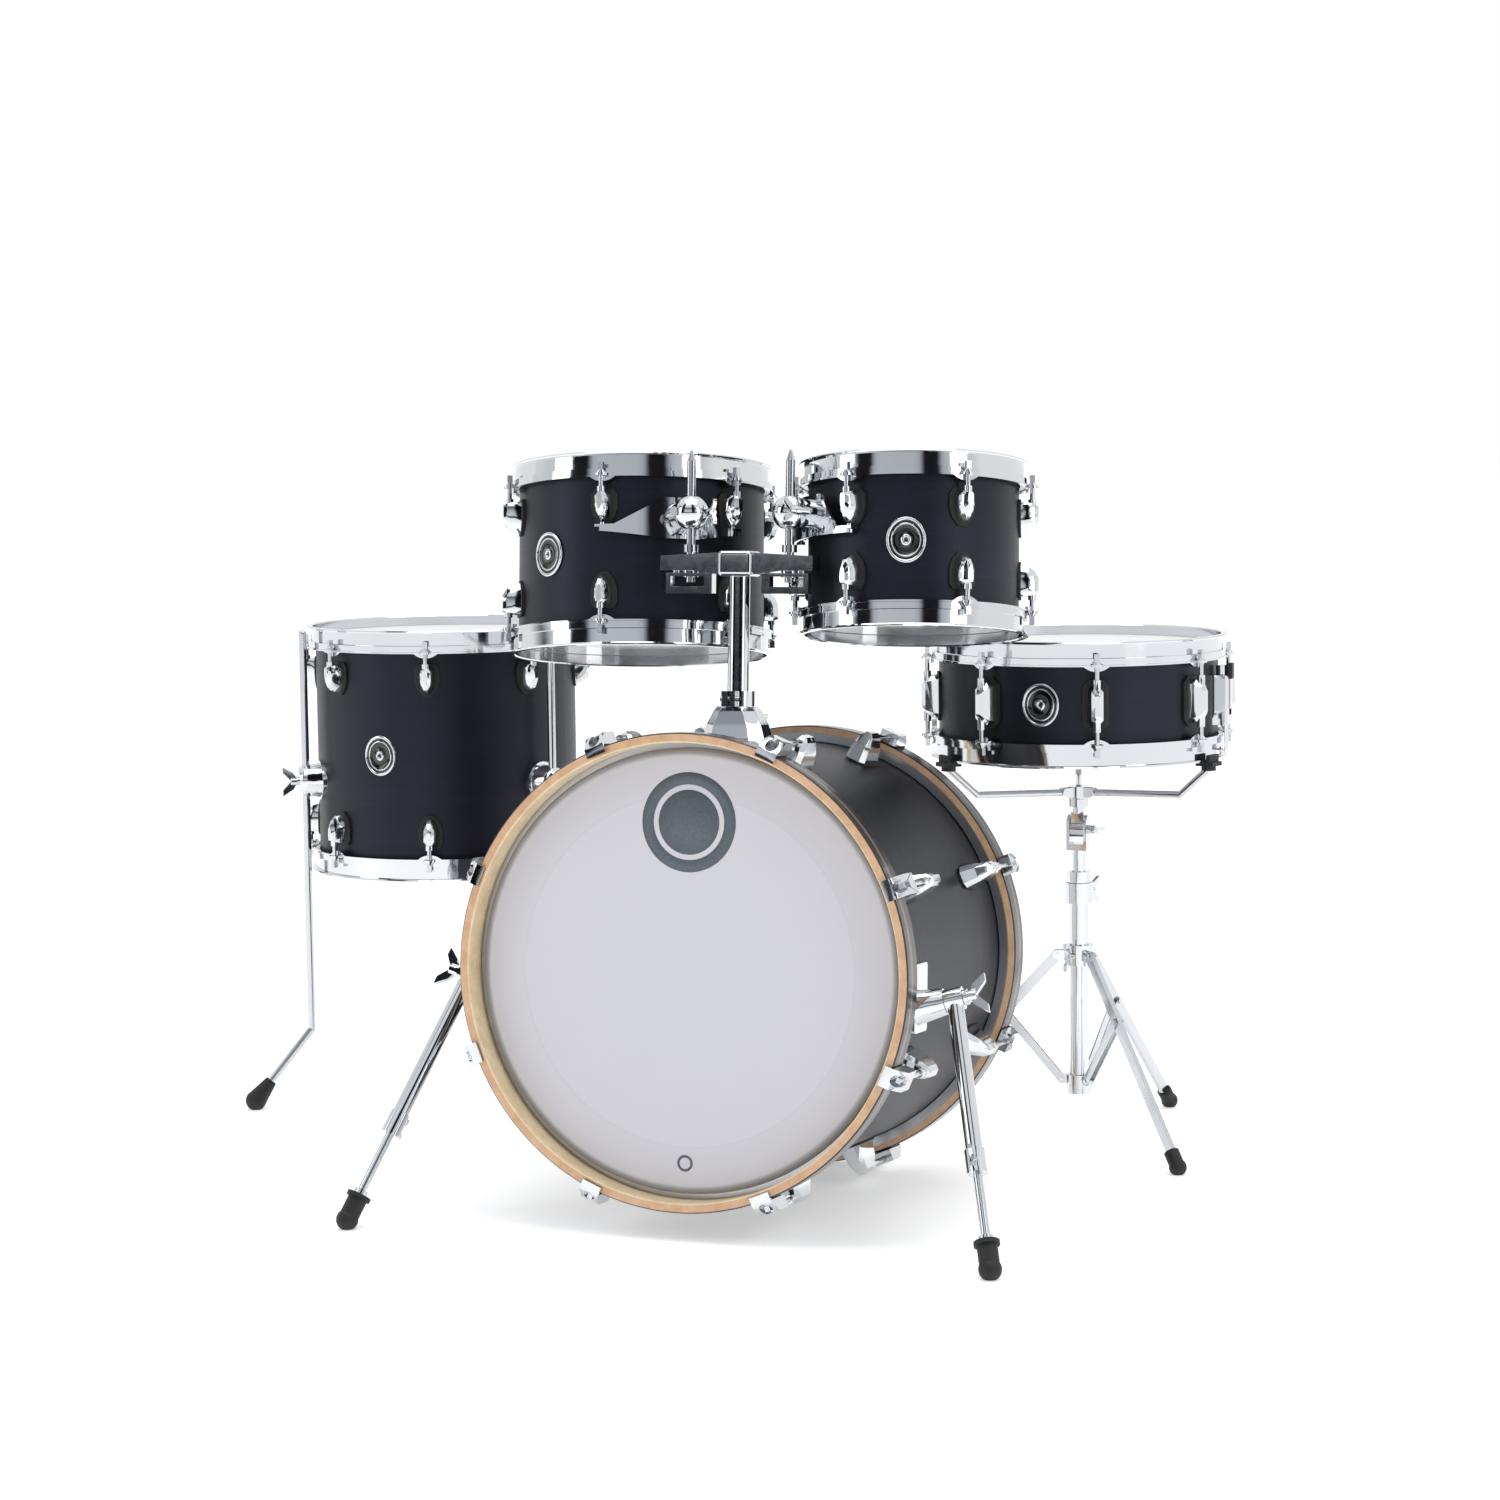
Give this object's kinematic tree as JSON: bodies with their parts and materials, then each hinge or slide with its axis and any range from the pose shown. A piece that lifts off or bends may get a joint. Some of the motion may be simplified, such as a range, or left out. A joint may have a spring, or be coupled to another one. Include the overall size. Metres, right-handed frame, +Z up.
{
  "type": "acoustic drum kit",
  "caption": "Acoustic drum kit: bass drum on folding spurs with a double tom holder and rack toms, a floor tom on legs, and a snare drum on a folding stand.",
  "frame": {"origin": "on the floor, under the middle of the kit's bounding box", "axes": "+X to the right seen from the audience, +Y from the audience towards the drummer, +Z up"},
  "size_m": [1.329, 1.0686, 0.8915],
  "materials": {
    "shell_black": "satin black stain over faint grain",
    "head_white": "coated film",
    "head_clear": "clear film",
    "hoop_wood": "lacquered ply hoop with a natural front edge",
    "chrome": "polished",
    "steel": "bright drawn steel"
  },
  "bodies": {
    "bass_drum": {"bass_shell": "shell_black", "bass_front_hoop": "hoop_wood", "bass_rear_hoop": "hoop_wood", "bass_front_head": "head_white", "bass_rear_head": "head_white", "bass_lugs": "chrome", "bass_claws": "chrome", "bass_rods": "chrome", "spur_brackets": "chrome", "holder_base": "chrome"},
    "spur_left": {"spur_tube_left": "chrome"},
    "spur_leg_left": {"spur_rod_left": "chrome"},
    "spur_right": {"spur_tube_right": "chrome"},
    "spur_leg_right": {"spur_rod_right": "chrome"},
    "tom_post": {"holder_post": "chrome"},
    "tom_holder": {"holder_head": "chrome"},
    "arm_left": {"arm_rod_left": "steel"},
    "tom_left": {"tom_left_shell": "shell_black", "tom_left_heads": "head_clear", "tom_left_hoops": "chrome", "tom_left_lugs": "chrome", "tom_left_rods": "chrome", "tom_left_bracket": "chrome"},
    "arm_right": {"arm_rod_right": "steel"},
    "tom_right": {"tom_right_shell": "shell_black", "tom_right_heads": "head_clear", "tom_right_hoops": "chrome", "tom_right_lugs": "chrome", "tom_right_rods": "chrome", "tom_right_bracket": "chrome"},
    "floor_tom": {"floor_tom_shell": "shell_black", "floor_tom_heads": "head_white", "floor_tom_hoops": "chrome", "floor_tom_lugs": "chrome", "floor_tom_rods": "chrome", "floor_tom_leg_brackets": "chrome"},
    "floor_leg_1": {"floor_tom_leg_1": "steel"},
    "floor_leg_2": {"floor_tom_leg_2": "steel"},
    "floor_leg_3": {"floor_tom_leg_3": "steel"},
    "snare_stand": {"stand_tube": "chrome"},
    "stand_slider": {"stand_collar": "chrome"},
    "stand_leg_1": {"stand_leg_1": "chrome"},
    "stand_brace_1": {"stand_brace_1": "chrome"},
    "stand_leg_2": {"stand_leg_2": "chrome"},
    "stand_brace_2": {"stand_brace_2": "chrome"},
    "stand_leg_3": {"stand_leg_3": "chrome"},
    "stand_brace_3": {"stand_brace_3": "chrome"},
    "stand_top": {"stand_upper": "chrome"},
    "basket": {"stand_basket": "chrome"},
    "basket_arm_1": {"stand_arm_1": "chrome"},
    "basket_arm_2": {"stand_arm_2": "chrome"},
    "basket_arm_3": {"stand_arm_3": "chrome"},
    "snare_drum": {"snare_shell": "shell_black", "snare_heads": "head_white", "snare_hoops": "chrome", "snare_lugs": "chrome", "snare_rods": "chrome", "snare_strainer": "chrome"},
    "throw_lever": {"snare_throw_lever": "chrome"},
    "wires": {"snare_wires": "steel"}
  },
  "joints": [
    {"name": "spur_fold_left", "type": "hinge", "parent": "bass_drum", "child": "spur_left", "pos_m": [-0.12467, -0.36234, 0.275], "axis": [-0.9625, 0.1398, 0.2325], "range_deg": [0, 80]},
    {"name": "spur_length_left", "type": "slide", "parent": "spur_left", "child": "spur_leg_left", "axis": [0.2713, 0.4959, 0.8249], "range_m": [0, 0.055]},
    {"name": "spur_fold_right", "type": "hinge", "parent": "bass_drum", "child": "spur_right", "pos_m": [0.47533, -0.36234, 0.275], "axis": [-0.9625, -0.1398, -0.2325], "range_deg": [0, 80]},
    {"name": "spur_length_right", "type": "slide", "parent": "spur_right", "child": "spur_leg_right", "axis": [-0.2713, 0.4959, 0.8249], "range_m": [0, 0.055]},
    {"name": "post_height", "type": "slide", "parent": "bass_drum", "child": "tom_post", "axis": [0, 0.0698, 0.9976], "range_m": [0, 0.1]},
    {"name": "holder_swivel", "type": "hinge", "parent": "tom_post", "child": "tom_holder", "pos_m": [0.17533, -0.23469, 0.74234], "axis": [0, 0.0698, 0.9976], "range_deg": [-15, 0]},
    {"name": "arm_swivel_left", "type": "hinge", "parent": "tom_holder", "child": "arm_left", "pos_m": [0.11333, -0.22945, 0.81715], "axis": [0, 0.0698, 0.9976], "range_deg": [-3, 25]},
    {"name": "tom_tilt_left", "type": "hinge", "parent": "arm_left", "child": "tom_left", "pos_m": [0.11333, -0.22945, 0.81715], "axis": [0.7664, 0.6424, 0], "range_deg": [-5, 5]},
    {"name": "arm_swivel_right", "type": "hinge", "parent": "tom_holder", "child": "arm_right", "pos_m": [0.23733, -0.22945, 0.81715], "axis": [0, 0.0698, 0.9976], "range_deg": [-15, 0]},
    {"name": "tom_tilt_right", "type": "hinge", "parent": "arm_right", "child": "tom_right", "pos_m": [0.23733, -0.22945, 0.81715], "axis": [0.7342, -0.6789, 0], "range_deg": [-5, 5]},
    {"name": "floor_tom_lift", "type": "slide", "parent": "bass_drum", "child": "floor_tom", "axis": [0, 0, 1], "range_m": [0, 0.25]},
    {"name": "floor_leg_height_1", "type": "slide", "parent": "floor_tom", "child": "floor_leg_1", "axis": [0, 0, 1], "range_m": [0, 0.08]},
    {"name": "floor_leg_height_2", "type": "slide", "parent": "floor_tom", "child": "floor_leg_2", "axis": [0, 0, 1], "range_m": [0, 0.08]},
    {"name": "floor_leg_height_3", "type": "slide", "parent": "floor_tom", "child": "floor_leg_3", "axis": [0, 0, 1], "range_m": [0, 0.08]},
    {"name": "stand_lift", "type": "slide", "parent": "bass_drum", "child": "snare_stand", "axis": [0, 0, 1], "range_m": [0, 0.03]},
    {"name": "tripod_fold", "type": "slide", "parent": "snare_stand", "child": "stand_slider", "axis": [0, 0, 1], "range_m": [0, 0.045]},
    {"name": "leg_fold_1", "type": "hinge", "parent": "stand_slider", "child": "stand_leg_1", "pos_m": [0.43777, 0.20514, 0.239], "axis": [0.2588, -0.9659, 0], "range_deg": [0, 27.8]},
    {"name": "brace_fold_1", "type": "hinge", "parent": "snare_stand", "child": "stand_brace_1", "pos_m": [0.44211, 0.20631, 0.078], "axis": [-0.2588, 0.9659, 0], "range_deg": [0, 24.16]},
    {"name": "leg_fold_2", "type": "hinge", "parent": "stand_slider", "child": "stand_leg_2", "pos_m": [0.48378, 0.19282, 0.239], "axis": [0.7071, 0.7071, 0], "range_deg": [0, 27.8]},
    {"name": "brace_fold_2", "type": "hinge", "parent": "snare_stand", "child": "stand_brace_2", "pos_m": [0.48059, 0.196, 0.078], "axis": [-0.7071, -0.7071, 0], "range_deg": [0, 24.16]},
    {"name": "leg_fold_3", "type": "hinge", "parent": "stand_slider", "child": "stand_leg_3", "pos_m": [0.47145, 0.23883, 0.239], "axis": [-0.9659, 0.2588, 0], "range_deg": [0, 27.8]},
    {"name": "brace_fold_3", "type": "hinge", "parent": "snare_stand", "child": "stand_brace_3", "pos_m": [0.47028, 0.23448, 0.078], "axis": [0.9659, -0.2588, 0], "range_deg": [0, 24.16]},
    {"name": "stand_height", "type": "slide", "parent": "snare_stand", "child": "stand_top", "axis": [0, 0, 1], "range_m": [0, 0.04]},
    {"name": "basket_tilt", "type": "hinge", "parent": "stand_top", "child": "basket", "pos_m": [0.46433, 0.21226, 0.4], "axis": [1, 0, 0], "range_deg": [0, 10]},
    {"name": "basket_open_1", "type": "hinge", "parent": "basket", "child": "basket_arm_1", "pos_m": [0.45019, 0.19812, 0.448], "axis": [0.7071, -0.7071, 0], "range_deg": [0, 12]},
    {"name": "basket_open_2", "type": "hinge", "parent": "basket", "child": "basket_arm_2", "pos_m": [0.48365, 0.20708, 0.448], "axis": [0.2588, 0.9659, 0], "range_deg": [0, 12]},
    {"name": "basket_open_3", "type": "hinge", "parent": "basket", "child": "basket_arm_3", "pos_m": [0.45915, 0.23158, 0.448], "axis": [-0.9659, -0.2588, 0], "range_deg": [0, 12]},
    {"name": "snare_lift", "type": "slide", "parent": "basket", "child": "snare_drum", "axis": [0, 0, 1], "range_m": [0, 0.04]},
    {"name": "throw_off", "type": "hinge", "parent": "snare_drum", "child": "throw_lever", "pos_m": [0.65703, 0.21226, 0.5614], "axis": [0, 1, 0], "range_deg": [0, 75]},
    {"name": "wire_drop", "type": "slide", "parent": "snare_drum", "child": "wires", "axis": [0, 0, -1], "range_m": [0, 0.003]}
  ],
  "couplings": [
    {"joint": "leg_fold_1", "follows": "tripod_fold", "rad_per_m": 10.764},
    {"joint": "brace_fold_1", "follows": "tripod_fold", "rad_per_m": 9.3504},
    {"joint": "leg_fold_2", "follows": "tripod_fold", "rad_per_m": 10.764},
    {"joint": "brace_fold_2", "follows": "tripod_fold", "rad_per_m": 9.3504},
    {"joint": "leg_fold_3", "follows": "tripod_fold", "rad_per_m": 10.764},
    {"joint": "brace_fold_3", "follows": "tripod_fold", "rad_per_m": 9.3504},
    {"joint": "basket_open_2", "follows": "basket_open_1", "ratio": 1},
    {"joint": "basket_open_3", "follows": "basket_open_1", "ratio": 1},
    {"joint": "wire_drop", "follows": "throw_off", "m_per_rad": 0.00228}
  ]
}
